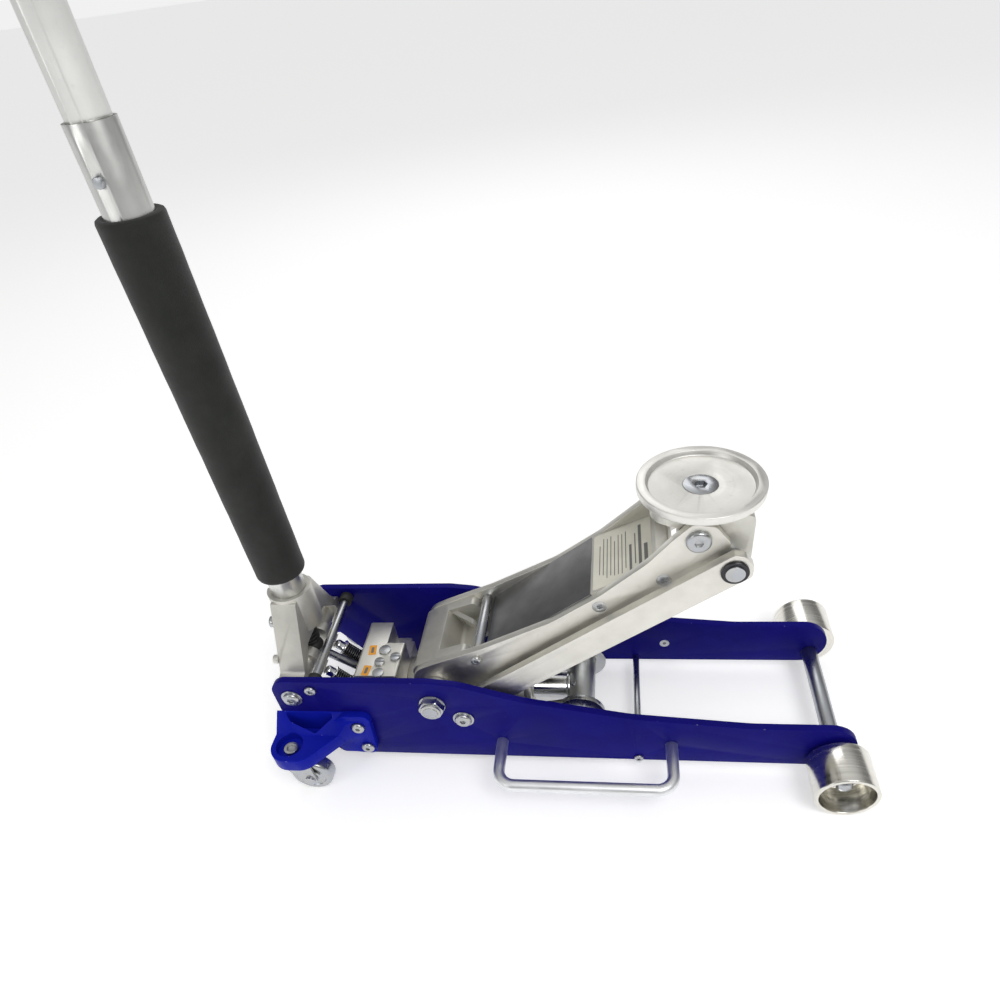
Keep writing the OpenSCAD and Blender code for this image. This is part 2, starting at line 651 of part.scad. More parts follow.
tip_gap = 1;
module pump_plungers() color(zinc) jack() for (s = [-1, 1]) dipping(plunger_dip, s * plunger_y) {
    translate([0, 0, cam_r + tip_gap]) rotate_extrude()
        polygon(rounded([[0, 0, 0], [plunger_r, 0, 5], [plunger_r, 65.5, 0.5], [0, 65.5, 0]]));
    translate([0, 0, collar_at]) cylinder(r = 10.5, h = 2);
}

module plunger_springs() color(zinc) jack() for (s = [-1, 1]) dipping(plunger_dip, s * plunger_y)
    difference() {
        translate([0, 0, collar_at + 2.2]) cylinder(r = 10, h = 55.6 - collar_at);
        translate([0, 0, collar_at - 6]) cylinder(r = plunger_r + 0.5, h = 40);
    }

ball_r = 9;
module release_shaft() color(steel) jack() dipping(release_dip) {
    sphere(r = ball_r);
    cylinder(r = 5, h = 96);
}

// Cup over the release shaft's ball, ribbed stem, and plug in the handle tube
module drive_socket() color(rubber) jack() translate([yoke_at[0], 0, 0]) difference() {
    union() {
        translate([0, 0, yoke_z]) sphere(r = 13);
        translate([0, 0, yoke_z + 8]) cylinder(r = 8.8, h = 44);
        for (z = [128:5:143]) translate([0, 0, z]) cylinder(r = 11.5, h = 2.5);
        translate([0, 0, 166.2]) cylinder(r = tube_r - 2.6, h = 20);
    }
    translate([0, 0, yoke_z]) sphere(r = ball_r + 0.3);
    translate([-20, -20, yoke_z - 20]) cube([40, 40, 21.5]);
}

joint_z = 615;
module hollow_z(r_in, r_out, z0, z1) translate([yoke_at[0], 0, z0]) difference() {
    cylinder(r = r_out, h = z1 - z0);
    translate([0, 0, -1]) cylinder(r = r_in, h = z1 - z0 + 2);
}

module handle_tube() color(zinc) jack() difference() {
    hollow_z(tube_r - 2.5, tube_r, 166.2, 650);
    translate([yoke_at[0], 0, joint_z]) rotate([90, 0, 0]) cylinder(r = 4.1, h = 40);
}

module foam_sleeve() color(foam) jack() hollow_z(tube_r + run, foam_r, 235, 590);

module upper_tube() color(zinc) jack() difference() {
    hollow_z(13.7, 16.2, 560, handle_top - 8.4);
    translate([yoke_at[0], 0, joint_z]) rotate([90, 0, 0]) cylinder(r = 4.1, h = 40);
}

module joint_button() color(steel) jack() translate([yoke_at[0], 0, joint_z]) rotate([90, 0, 0]) {
    translate([0, 0, 9]) cylinder(r = 4, h = 13);
    translate([0, 0, 8]) cylinder(r = 5, h = 2);
}

module handle_grip() color(rubber) jack() {
    hollow_z(16.2 + run, 19.5, handle_top - 140, handle_top - 8);
    translate([yoke_at[0], 0, handle_top - 8.1]) rotate_extrude()
        polygon(rounded([[0, 0.1, 0], [19.5, 0, 0], [19.5, 8.1, 5], [0, 8.1, 0]]));
}

side_plate_right();
side_plate_left();
front_axle();
wheel_nuts();
front_rod();
rear_bar();
rear_bumpers();
plate_screws();
pivot_bolts();
caster_bracket_right();
caster_bracket_left();
king_bolts();
carry_handle_right();
carry_handle_left();
carry_handle_screws();
main_axle();
main_nuts();
spacer_bushes();
pump_block();
block_plugs();
reservoir_tube();
cylinder_tube();
cylinder_head();
return_spring();
plunger_glands();
front_wheel_right();
front_wheel_left();
caster_fork_right();
caster_fork_left();
caster_wheel_right();
caster_wheel_left();
arm_plate_right();
arm_plate_left();
arm_rear_casting();
arm_floor_panel();
arm_front_casting();
arm_cross_rod();
arm_screws();
pull_pins();
saddle_bolt();
link_right();
link_left();
saddle_bracket();
link_pin();
saddle();
saddle_screw();
ram();
crosshead();
pull_plates();
yoke();
clamp_bolt();
pump_plungers();
plunger_springs();
release_shaft();
drive_socket();
handle_tube();
foam_sleeve();
upper_tube();
joint_button();
handle_grip();
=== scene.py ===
# %% [markdown]
# # Hydraulic floor jack
# A low trolley jack: two blue side plates carry an axle, an oil pump and a lift arm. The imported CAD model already
# holds every rigid piece in its true place. This lesson loads it as a fixed frame, softens its edges, gives each
# piece the finish of its metal, paint or rubber, and adds the small and soft pieces that CAD leaves plain.

# %% Load the frame
import json
import math

import bmesh
import bpy
from mathutils import Matrix, Vector


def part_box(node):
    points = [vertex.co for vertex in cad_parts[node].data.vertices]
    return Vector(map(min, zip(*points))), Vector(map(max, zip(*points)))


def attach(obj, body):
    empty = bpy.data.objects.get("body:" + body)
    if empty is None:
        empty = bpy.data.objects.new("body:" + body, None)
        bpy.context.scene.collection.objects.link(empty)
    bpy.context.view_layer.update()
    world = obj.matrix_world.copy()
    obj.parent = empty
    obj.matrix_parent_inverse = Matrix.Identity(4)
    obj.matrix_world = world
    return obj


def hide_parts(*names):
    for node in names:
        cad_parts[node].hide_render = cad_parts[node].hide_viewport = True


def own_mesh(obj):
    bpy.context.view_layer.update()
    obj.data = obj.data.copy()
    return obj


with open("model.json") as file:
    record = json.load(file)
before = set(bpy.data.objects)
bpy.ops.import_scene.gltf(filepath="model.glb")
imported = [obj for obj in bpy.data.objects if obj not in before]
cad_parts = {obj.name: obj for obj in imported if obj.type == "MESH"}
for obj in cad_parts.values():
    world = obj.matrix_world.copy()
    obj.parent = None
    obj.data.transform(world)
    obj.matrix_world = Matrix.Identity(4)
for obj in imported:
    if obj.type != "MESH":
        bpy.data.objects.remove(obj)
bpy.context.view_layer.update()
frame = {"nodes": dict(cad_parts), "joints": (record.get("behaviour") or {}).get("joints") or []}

# %% [markdown]
# ## Places
# Every place comes from the frame, so nothing is fitted by eye. A hinge of the frame gives a pivot's position, and
# the box of a node gives its middle. The lift arm slopes, so it gets a small coordinate system of its own: along it
# from the main pivot, across it to the jack's left, and square to it.

# %% Places and directions
MM = 0.001
RIGHT, LEFT = -1, 1
UP = Vector((0, 0, 1))
ACROSS = Vector((0, 1, 0))
FRONT = Vector((1, 0, 0))


def middle(node):
    low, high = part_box(node)
    return (low + high) / 2


def pivot(joint):
    return Vector(next(j["pos_m"] for j in frame["joints"] if j["name"] == joint))


def slide_axis(joint):
    return Vector(next(j["axis"] for j in frame["joints"] if j["name"] == joint)).normalized()


main_pivot = pivot("arm_lift")
arm_along = (pivot("bracket_level") - main_pivot).normalized()
arm_square = arm_along.cross(ACROSS).normalized() * -1
if arm_square.z < 0:
    arm_square.negate()


def on_arm(along, across, square):
    return main_pivot + (arm_along * along + ACROSS * across + arm_square * square) * MM


print("arm slopes", round(math.degrees(math.asin(arm_along.z)), 2), "degrees")

# %% [markdown]
# ## Camera
# The viewer stands beside the jack and looks down on it at about forty degrees, with a wide lens close by, so the
# handle leans outwards in the picture. Pan, tilt and roll turn the camera, and the small shift keeps the framing.

# %% Camera
CAMERA_PLACE = Vector((-227.3, -550.7, 712.0)) * MM     # from the floor under the front axle
PAN, TILT, ROLL = (math.radians(a) for a in (12.2, -42.11, -8.7))
LENS_MM, SENSOR_MM = 25.86, 36.0
SHIFT = (-0.0043, 0.0901)


def make_camera():
    forward = Vector((-math.sin(PAN) * math.cos(TILT), math.cos(PAN) * math.cos(TILT), math.sin(TILT)))
    level = Vector((math.cos(PAN), math.sin(PAN), 0))
    upward = level.cross(forward)
    right = level * math.cos(ROLL) + upward * math.sin(ROLL)
    upward = upward * math.cos(ROLL) - level * math.sin(ROLL)
    data = bpy.data.cameras.new("camera")
    data.lens, data.sensor_width = LENS_MM, SENSOR_MM
    data.shift_x, data.shift_y = SHIFT
    data.clip_start = 0.02
    camera = bpy.data.objects.new("camera", data)
    bpy.context.scene.collection.objects.link(camera)
    turn = Matrix((right, upward, -forward)).transposed()
    axle = middle("front_axle")
    camera.matrix_world = Matrix.Translation(CAMERA_PLACE + Vector((axle.x, 0, 0))) @ turn.to_4x4()
    bpy.context.scene.camera = camera
    return camera


camera = make_camera()
print("camera at", [round(v, 3) for v in camera.location])

# %% [markdown]
# ## Studio
# A white floor makes the pale background. Metal shows only what it mirrors: the surround is white at eye level,
# dim above that and brighter overhead, which leaves the tops of the pieces grey and lets their sides mirror the
# white floor. Three wide soft panels add the highlights.

# %% Floor, surround and lights
FLOOR_SIZE = 80.0
FLOOR_WHITE = (0.97, 0.97, 0.97, 1)
FLOOR_GLOW = 0.33                                       # a light table under a white sheet
WALL, HORIZON, ZENITH = 0.66, 0.22, 0.72                # brightness of the surround, from eye level up
WALL_TOP, SKY_RISE = (0.06, 0.14), (0.35, 0.98)         # heights of a direction where each one changes
PANELS = [("key", (0.9, -1.2, 2.1), (0, 0, 0.15), 1.2, 20),
          ("fill", (-1.6, -1.6, 1.2), (0, 0, 0.2), 1.0, 6),
          ("back_strip", (-0.2, 2.1, 2.0), (0, 0, 0.1), 1.4, 9)]    # name, place, target, size in m, watts
bpy.context.scene.view_settings.view_transform = "Standard"


def make_floor():
    bm = bmesh.new()
    bmesh.ops.create_grid(bm, x_segments=1, y_segments=1, size=FLOOR_SIZE / 2)
    mesh = bpy.data.meshes.new("floor")
    bm.to_mesh(mesh)
    bm.free()
    floor = bpy.data.objects.new("floor", mesh)
    bpy.context.scene.collection.objects.link(floor)
    material = bpy.data.materials.new("pale_floor")
    material.use_nodes = True
    shader = material.node_tree.nodes["Principled BSDF"]
    shader.inputs["Base Color"].default_value = FLOOR_WHITE
    shader.inputs["Roughness"].default_value = 0.85
    shader.inputs["Specular IOR Level"].default_value = 0.1
    shader.inputs["Emission Color"].default_value = (1, 1, 1, 1)
    shader.inputs["Emission Strength"].default_value = FLOOR_GLOW
    floor.data.materials.append(material)


def make_panel(name, place, target, size, watts):
    data = bpy.data.lights.new(name, "AREA")
    data.shape, data.size, data.energy = "SQUARE", size, watts
    light = bpy.data.objects.new(name, data)
    bpy.context.scene.collection.objects.link(light)
    light.location = place
    light.rotation_euler = (Vector(target) - Vector(place)).to_track_quat("-Z", "Y").to_euler()


def make_surround():
    """A surround of greys: its brightness is the wall's share plus the sky's share at each height."""
    world = bpy.data.worlds.new("studio")
    bpy.context.scene.world = world
    world.use_nodes = True
    tree = world.node_tree
    direction = tree.nodes.new("ShaderNodeTexCoord")
    parts = tree.nodes.new("ShaderNodeSeparateXYZ")
    total = tree.nodes.new("ShaderNodeMath")
    tree.links.new(direction.outputs["Generated"], parts.inputs[0])
    for i, (heights, below, above) in enumerate(((SKY_RISE, HORIZON, ZENITH), (WALL_TOP, WALL, 0.0))):
        share = tree.nodes.new("ShaderNodeMapRange")
        share.interpolation_type = "SMOOTHSTEP"
        for socket, value in (("From Min", heights[0]), ("From Max", heights[1]), ("To Min", below), ("To Max", above)):
            share.inputs[socket].default_value = value
        tree.links.new(parts.outputs["Z"], share.inputs["Value"])
        tree.links.new(share.outputs["Result"], total.inputs[i])
    sky = tree.nodes["Background"]
    sky.inputs["Color"].default_value = (1, 1, 1, 1)
    tree.links.new(total.outputs[0], sky.inputs["Strength"])


make_floor()
make_surround()
for panel in PANELS:
    make_panel(*panel)

# %% [markdown]
# ## A short way to write materials
# A finish is a small graph of nodes round one shader. `Graph` adds a node in one line: each named input is either
# linked, when it is another node's output, or set. Every pattern reads Object coordinates, so it stays on the piece
# when the piece moves. Three patterns come back in every finish: a noise, a noise drawn out along the lay of a
# brush, and a mask of the edges, where hands and tools rub first and where several finishes get a painted highlight.

# %% Graph, noise, spread, mix and edges
class Graph:
    """A material being made: its nodes, its shader and its Object coordinates."""

    def __init__(self, name):
        self.material = bpy.data.materials.new(name)
        self.material.use_nodes = True
        self.tree = self.material.node_tree
        self.shader = self.tree.nodes["Principled BSDF"]
        self.place = self.add("ShaderNodeTexCoord").outputs["Object"]

    def add(self, kind, inputs=None, **settings):
        node = self.tree.nodes.new(kind)
        for key, value in settings.items():
            setattr(node, key, value)
        for key, value in (inputs or {}).items():
            if isinstance(value, bpy.types.NodeSocket):
                self.tree.links.new(value, node.inputs[key])
            else:
                node.inputs[key].default_value = value
        return node

    def set(self, **values):
        for key, value in values.items():
            socket = self.shader.inputs[key.replace("_", " ")]
            if isinstance(value, bpy.types.NodeSocket):
                self.tree.links.new(value, socket)
            else:
                socket.default_value = value
        return self

    def math(self, operation, a, b=0.5):
        return self.add("ShaderNodeMath", {0: a, 1: b}, operation=operation).outputs[0]

    def noise(self, scale, detail=3.0, stretch=(1, 1, 1), centre=(0, 0, 0)):
        moved = self.add("ShaderNodeMapping", {"Vector": self.place, "Location": centre, "Scale": stretch})
        return self.add("ShaderNodeTexNoise", {"Vector": moved.outputs[0], "Scale": scale, "Detail": detail,
                                               "Roughness": 0.6}).outputs["Fac"]

    def spread(self, value, low, high, start=0.3, end=0.7):
        return self.add("ShaderNodeMapRange", {"Value": value, "From Min": start, "From Max": end,
                                               "To Min": low, "To Max": high}).outputs["Result"]

    def mix(self, amount, first, second):
        node = self.add("ShaderNodeMix", data_type="RGBA")
        for index, value in ((0, amount), (6, first), (7, second)):
            if isinstance(value, bpy.types.NodeSocket):
                self.tree.links.new(value, node.inputs[index])
            else:
                node.inputs[index].default_value = value if index == 0 else (*value, 1)
        return node.outputs[2]

    def edges(self, radius=1.0):
        """0 on a flat, 1 on an edge, from how far a rounded normal turns away from the true one."""
        round_normal = self.add("ShaderNodeBevel", {"Radius": radius * MM}, samples=4).outputs[0]
        true_normal = self.add("ShaderNodeNewGeometry").outputs["Normal"]
        same = self.add("ShaderNodeVectorMath", {0: round_normal, 1: true_normal}, operation="DOT_PRODUCT")
        return self.spread(same.outputs["Value"], 1.0, 0.0, 0.82, 0.99)

    def bump(self, height, depth, strength=1.0):
        return self.add("ShaderNodeBump", {"Height": height, "Distance": depth * MM,
                                           "Strength": strength}).outputs["Normal"]


def shade(colour, factor):
    return tuple(min(1.0, c * factor) for c in colour)


print("patterns: noise, spread, mix, edges, bump")

# %% [markdown]
# ## Paint
# The side plates are sheet aluminium with a deep blue powder coat. Powder melts into a skin with a faint orange
# peel. A painted highlight makes the corners lighter, and some corners are chipped to bare metal. The caster
# brackets are castings, so the same blue sits brighter over a coarser grain.

# %% Blue powder coat
PLATE_BLUE = (0.006, 0.0045, 0.165)
CASTING_BLUE = (0.005, 0.011, 0.350)


def powder_coat(name, colour, peel, gloss):
    g = Graph(name)
    cloud = g.noise(14, 5)
    body = g.mix(g.spread(cloud, 0, 1), shade(colour, 0.82), shade(colour, 1.12))
    dust = g.spread(g.noise(420, 4), 0, 0.16, 0.60, 0.78)
    body = g.mix(dust, body, (0.06, 0.07, 0.36))
    edge = g.edges(1.3)
    # painted highlight: the edges of the coat are drawn lighter
    body = g.mix(g.math("MULTIPLY", edge, 0.55), body, shade(colour, 1.6))
    chips = g.math("MULTIPLY", edge, g.spread(g.noise(190, 3), 0, 1, 0.66, 0.70))
    body = g.mix(chips, body, (0.50, 0.50, 0.52))
    rough = g.spread(g.noise(60, 4), gloss - 0.05, gloss + 0.09)
    grain = g.math("ADD", g.noise(peel, 2), g.math("MULTIPLY", g.noise(peel * 3.1, 2), 0.4))
    g.set(Base_Color=body, Roughness=rough, Normal=g.bump(grain, 0.10, 0.35), Specular_IOR_Level=0.06)
    return g.material


plate_paint = powder_coat("plate_paint", PLATE_BLUE, 620, 0.36)
casting_paint = powder_coat("casting_paint", CASTING_BLUE, 380, 0.30)
print("paints:", plate_paint.name, casting_paint.name)

# %% [markdown]
# ## Bare metals
# The lift arm is milled aluminium, blasted with fine beads: dull, warm and even, with a painted highlight that
# draws a brighter line along each edge. Castings are coarser. Bolts carry zinc, which is cloudy and a little yellow
# or blue. One function makes them all, from a colour, a roughness, a grain and the direction in which the grain is
# drawn out.

# %% Metals
ALUMINIUM = (0.74, 0.725, 0.67)
CAST_ALUMINIUM = (0.66, 0.65, 0.60)
ZINC = (0.46, 0.475, 0.50)
STEEL = (0.43, 0.445, 0.465)
CHROME = (0.80, 0.81, 0.82)


def metal(name, colour, rough, grain, depth, lay=(1, 1, 1), cloud=0.10, tint=None, edge_highlight=1.25):
    g = Graph(name)
    body = g.mix(g.spread(g.noise(22, 5), 0, 1), shade(colour, 1 - cloud), shade(colour, 1 + cloud / 2))
    if tint:
        body = g.mix(g.spread(g.noise(65, 2), 0, 0.5, 0.45, 0.75), body, tint)
    stains = g.spread(g.noise(150, 6), 0, 0.35, 0.62, 0.80)
    body = g.mix(stains, body, shade(colour, 0.62))
    edge = g.edges(0.9)
    # painted highlight: a brighter line is drawn along the edges
    body = g.mix(g.math("MULTIPLY", edge, 0.6), body, shade(colour, edge_highlight))
    smudge = g.spread(g.noise(38, 4), rough - 0.06, rough + 0.08)
    fine = g.math("ADD", g.noise(grain, 2, lay), g.math("MULTIPLY", g.noise(grain * 0.27, 3, lay), 0.5))
    g.set(Base_Color=body, Metallic=1.0, Roughness=g.math("SUBTRACT", smudge, g.math("MULTIPLY", edge, 0.08)),
          Normal=g.bump(fine, depth, 0.4))
    return g.material


milled = metal("milled_aluminium", ALUMINIUM, 0.43, 2300, 0.05)
cast = metal("cast_aluminium", CAST_ALUMINIUM, 0.50, 1050, 0.14, cloud=0.14)
zinc = metal("zinc_plate", ZINC, 0.27, 900, 0.03, tint=(0.52, 0.50, 0.42))
satin_zinc = metal("satin_zinc", (0.56, 0.575, 0.57), 0.40, 900, 0.03, tint=(0.56, 0.55, 0.47))
steel_x = metal("ground_steel", STEEL, 0.30, 1500, 0.02, lay=(0.05, 1, 1))
steel_y = metal("ground_axle", STEEL, 0.30, 1500, 0.02, lay=(1, 0.05, 1))
satin_rod = metal("satin_rod", (0.84, 0.85, 0.86), 0.42, 1600, 0.03, lay=(0.25, 1, 1))
tube_metal = metal("handle_tube_metal", (0.68, 0.68, 0.66), 0.33, 1700, 0.02, lay=(1, 1, 0.06))
chrome = metal("hard_chrome", CHROME, 0.12, 1400, 0.01, lay=(0.1, 1, 1), cloud=0.04)
# painted reflection: the arm's floor panel is dark grey, standing in for the dark surroundings it mirrors
grey_panel = metal("grey_panel", (0.200, 0.200, 0.205), 0.36, 1500, 0.03, cloud=0.25)
black_oxide = metal("black_oxide", (0.06, 0.06, 0.065), 0.32, 1200, 0.03, cloud=0.2)
print("metals:", milled.name, cast.name, zinc.name, steel_x.name, chrome.name)

# %% [markdown]
# ## Turned metal
# The front wheels and the saddle came off a lathe, and the tool leaves fine rings round the axis. The pattern is a
# noise of one number: the distance from the axis plus the distance along it, so the rings run right over the rim.

# %% Turned aluminium
def turned(name, colour, rough, centre, axis, rings, depth, contrast):
    g = Graph(name)
    moved = g.add("ShaderNodeVectorMath", {0: g.place, 1: tuple(centre)}, operation="SUBTRACT").outputs[0]
    parts = g.add("ShaderNodeSeparateXYZ", {0: moved}).outputs
    along = parts[axis]
    flat = g.add("ShaderNodeCombineXYZ", {i: parts[i] for i in range(3) if i != axis}).outputs[0]
    radius = g.add("ShaderNodeVectorMath", {0: flat}, operation="LENGTH").outputs["Value"]
    track = g.math("ADD", radius, along)
    groove = g.add("ShaderNodeTexNoise", {"W": track, "Scale": rings, "Detail": 3.0},
                   noise_dimensions="1D").outputs["Fac"]
    streak = g.add("ShaderNodeTexNoise", {"W": track, "Scale": rings * 0.11, "Detail": 2.0},
                   noise_dimensions="1D").outputs["Fac"]
    body = g.mix(g.spread(streak, 0, 1), shade(colour, 1 - contrast), shade(colour, 1 + contrast / 2))
    body = g.mix(g.spread(g.noise(120, 6), 0, 0.4, 0.60, 0.80), body, shade(colour, 0.66))
    edge = g.edges(0.9)
    # painted highlight: the edges are drawn lighter
    body = g.mix(g.math("MULTIPLY", edge, 0.6), body, shade(colour, 1.25))
    shine = g.math("ADD", g.spread(streak, rough - 0.05, rough + 0.06), g.spread(g.noise(45, 4), -0.03, 0.06))
    dents = g.math("MULTIPLY", g.noise(300, 4), 0.35)
    g.set(Base_Color=body, Metallic=1.0, Roughness=shine, Normal=g.bump(g.math("ADD", groove, dents), depth, 0.5))
    return g.material


turned_right = turned("turned_wheel_right", ALUMINIUM, 0.19, middle("front_wheel_right"), 1, 2600, 0.008, 0.10)
turned_left = turned("turned_wheel_left", ALUMINIUM, 0.19, middle("front_wheel_left"), 1, 2600, 0.008, 0.10)
turned_saddle = turned("turned_saddle", (0.80, 0.79, 0.75), 0.42, middle("saddle"), 2, 2200, 0.006, 0.04)
print("turned:", turned_right.name, turned_left.name, turned_saddle.name)

# %% [markdown]
# ## Rubber, foam and paper
# Moulded rubber is nearly black, and it is lighter along its edges. The handle's foam has closed cells, which show as
# tiny pits with painted shade in them. The plain stickers are paper with a slight gloss.

# %% Soft finishes
def rubber_finish(name, colour, rough, grain, depth):
    g = Graph(name)
    body = g.mix(g.spread(g.noise(40, 5), 0, 1), shade(colour, 0.7), shade(colour, 1.35))
    body = g.mix(g.math("MULTIPLY", g.edges(1.0), 0.35), body, shade(colour, 2.6))
    dust = g.spread(g.noise(260, 5), 0, 0.25, 0.60, 0.80)
    body = g.mix(dust, body, (0.12, 0.12, 0.11))
    g.set(Base_Color=body, Roughness=g.spread(g.noise(70, 3), rough - 0.08, rough + 0.08),
          Normal=g.bump(g.noise(grain, 3), depth, 0.5))
    return g.material


def foam_finish(name, colour):
    g = Graph(name)
    cells = g.add("ShaderNodeTexVoronoi", {"Vector": g.place, "Scale": 1050}).outputs["Distance"]
    pits = g.spread(cells, 0, 1, 0.05, 0.45)
    body = g.mix(g.spread(g.noise(18, 5), 0, 1), shade(colour, 0.80), shade(colour, 1.25))
    # painted shade: the cell pits are drawn darker
    body = g.mix(g.math("MULTIPLY", g.math("SUBTRACT", 1.0, pits), 0.55), body, shade(colour, 0.35))
    relief = g.math("ADD", pits, g.math("MULTIPLY", g.noise(90, 4), 0.8))
    g.set(Base_Color=body, Roughness=g.spread(g.noise(30, 3), 0.72, 0.90), Normal=g.bump(relief, 0.12, 0.6),
          Sheen_Weight=0.12, Sheen_Roughness=0.5)
    return g.material


def paper_finish(name, colour):
    g = Graph(name)
    body = g.mix(g.spread(g.noise(55, 5), 0, 1), shade(colour, 0.92), shade(colour, 1.04))
    body = g.mix(g.spread(g.noise(700, 3), 0, 0.18, 0.60, 0.80), body, shade(colour, 0.6))
    g.set(Base_Color=body, Roughness=g.spread(g.noise(60, 3), 0.38, 0.55), Normal=g.bump(g.noise(500, 3), 0.03, 0.3))
    return g.material


black_rubber = rubber_finish("black_rubber", (0.018, 0.018, 0.018), 0.58, 1300, 0.06)
sleeve_foam = foam_finish("sleeve_foam", (0.007, 0.0085, 0.006))
cream_paper = paper_finish("cream_paper", (0.72, 0.70, 0.60))
grey_ink = paper_finish("grey_ink", (0.16, 0.16, 0.15))
orange_paper = paper_finish("orange_paper", (0.85, 0.36, 0.02))
print("soft finishes: rubber, foam, paper, ink")

# %% [markdown]
# ## Dress the CAD nodes
# A CAD node's mesh is loose triangles. A Weld modifier joins them and a Bevel rounds the edges, because no real edge
# is perfectly sharp and a rounded one catches the light. The width follows the piece: large on castings, small on
# screws. The list says which finish and which edge each node gets.

# %% Finishes and edges of the frame
def dress(names, material, edge_mm, segments=2):
    for name in names.split():
        node = frame["nodes"][name]
        node.data.materials.clear()
        node.data.materials.append(material)
        for face in node.data.polygons:
            face.use_smooth = True
        weld = node.modifiers.new("weld", "WELD")
        weld.merge_threshold = 0.00001
        flats = node.modifiers.new("flats", "DECIMATE")
        flats.decimate_type, flats.angle_limit = "DISSOLVE", math.radians(0.5)
        bevel = node.modifiers.new("edge", "BEVEL")
        bevel.width, bevel.segments = edge_mm * MM, segments
        bevel.limit_method, bevel.angle_limit = "ANGLE", math.radians(32)
        bevel.use_clamp_overlap = True
        bevel.harden_normals = True
        bevel.miter_outer = "MITER_ARC"


dress("side_plate_right side_plate_left", plate_paint, 0.7, 3)
dress("caster_bracket_right caster_bracket_left", casting_paint, 1.2, 3)
dress("arm_plate_right arm_plate_left link_right link_left", milled, 0.45, 3)
dress("arm_rear_casting arm_front_casting saddle_bracket yoke", cast, 0.9, 3)
dress("pump_block", milled, 0.6, 3)
dress("reservoir_tube cylinder_head spacer_bushes", milled, 0.5)
dress("wheel_nuts front_rod rear_bar plate_screws pivot_bolts king_bolts carry_handle_screws main_nuts", zinc, 0.3)
dress("arm_cross_rod arm_screws saddle_bolt link_pin saddle_screw pull_plates clamp_bolt", zinc, 0.3)
dress("caster_fork_right caster_fork_left caster_wheel_right caster_wheel_left block_plugs", zinc, 0.4)
dress("cylinder_tube release_shaft return_spring plunger_springs", steel_x, 0.3)
dress("front_axle main_axle pull_pins joint_button", steel_y, 0.4)
dress("crosshead", satin_zinc, 0.4)
dress("carry_handle_right carry_handle_left", satin_rod, 0.4)
dress("handle_tube upper_tube", tube_metal, 0.4)
dress("ram pump_plungers", chrome, 0.4)
dress("rear_bumpers plunger_glands drive_socket handle_grip foam_sleeve", black_rubber, 0.5)
dress("arm_floor_panel", grey_panel, 0.4)
dress("front_wheel_right", turned_right, 0.5)
dress("front_wheel_left", turned_left, 0.5)
dress("saddle", turned_saddle, 0.5)
undressed = [n for n, o in frame["nodes"].items() if not o.modifiers]
print("undressed nodes:", undressed)

# %% [markdown]
# ## Tools for new pieces
# Three tools make all the new pieces. `lathe` spins a profile round an axis, as a lathe would. `coil` spins a wire's
# section and moves it along at the same time, which winds a spring. `plaque` is a thin plate with rounded corners.

# %% lathe, coil and plaque
def finish_piece(name, bm, material, body, smooth=True):
    bmesh.ops.remove_doubles(bm, verts=bm.verts, dist=1e-6)
    bmesh.ops.recalc_face_normals(bm, faces=bm.faces)
    mesh = bpy.data.meshes.new(name)
    bm.to_mesh(mesh)
    bm.free()
    for face in mesh.polygons:
        face.use_smooth = smooth
    mesh.set_sharp_from_angle(angle=math.radians(40))
    piece = bpy.data.objects.new(name, mesh)
    bpy.context.scene.collection.objects.link(piece)
    piece.data.materials.append(material)
    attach(piece, body)
    print(name, "has", len(mesh.polygons), "faces")
    return piece


def sideways(axis):
    return axis.cross(ACROSS if abs(axis.dot(ACROSS)) < 0.9 else FRONT).normalized()


def lathe(name, profile, base, axis, material, body, steps=64):
    """profile: [radius, height] pairs in mm along axis from base, from one end round to the other."""
    bm = bmesh.new()
    side = sideways(axis)
    points = [bm.verts.new(base + side * r * MM + axis * h * MM) for r, h in profile]
    lines = [bm.edges.new(pair) for pair in zip(points, points[1:])]
    bmesh.ops.spin(bm, geom=points + lines, cent=base, axis=axis, angle=2 * math.pi, steps=steps, use_merge=True)
    return finish_piece(name, bm, material, body)


def coil(name, base, axis, radius, wire, length, turns, material, body, steps=28):
    bm = bmesh.new()
    side = sideways(axis)
    first = base + side * radius * MM + axis * wire * MM
    lay = Matrix((side, axis, side.cross(axis))).transposed().to_4x4()
    made = bmesh.ops.create_circle(bm, cap_ends=True, radius=wire * MM, segments=8,
                                   matrix=Matrix.Translation(first) @ lay)
    rise = axis * ((length - 2 * wire) * MM / (turns * steps))
    bmesh.ops.spin(bm, geom=bm.verts[:] + bm.edges[:] + bm.faces[:], cent=base, axis=axis, dvec=rise,
                   angle=2 * math.pi * turns, steps=turns * steps, use_merge=False)
    return finish_piece(name, bm, material, body)


def plaque(name, centre, along, across, size, thick, corner, material, body):
    """A thin plate: size is (length along, width across) in mm, and its back lies at centre."""
    bm = bmesh.new()
    normal = along.cross(across).normalized()
    lay = Matrix((along, across, normal)).transposed().to_4x4()
    bmesh.ops.create_cube(bm, size=1.0)
    bmesh.ops.scale(bm, vec=(size[0] * MM, size[1] * MM, thick * MM), verts=bm.verts)
    upright = [e for e in bm.edges if abs(e.verts[0].co.z - e.verts[1].co.z) > 1e-6]
    bmesh.ops.bevel(bm, geom=upright, offset=corner * MM, segments=5, profile=0.5, affect="EDGES", material=-1)
    bmesh.ops.translate(bm, vec=(0, 0, thick * MM / 2), verts=bm.verts)
    bmesh.ops.transform(bm, matrix=Matrix.Translation(centre) @ lay, verts=bm.verts)
    return finish_piece(name, bm, material, body, smooth=False)


print("tools: lathe, coil, plaque")

# %% [markdown]
# ## Foam sleeve
# The sleeve is a tube of closed-cell foam pushed over the handle. Its ends are cut and soften as they age, so their
# edges are round, and the wall swells a little between the hands' usual places.

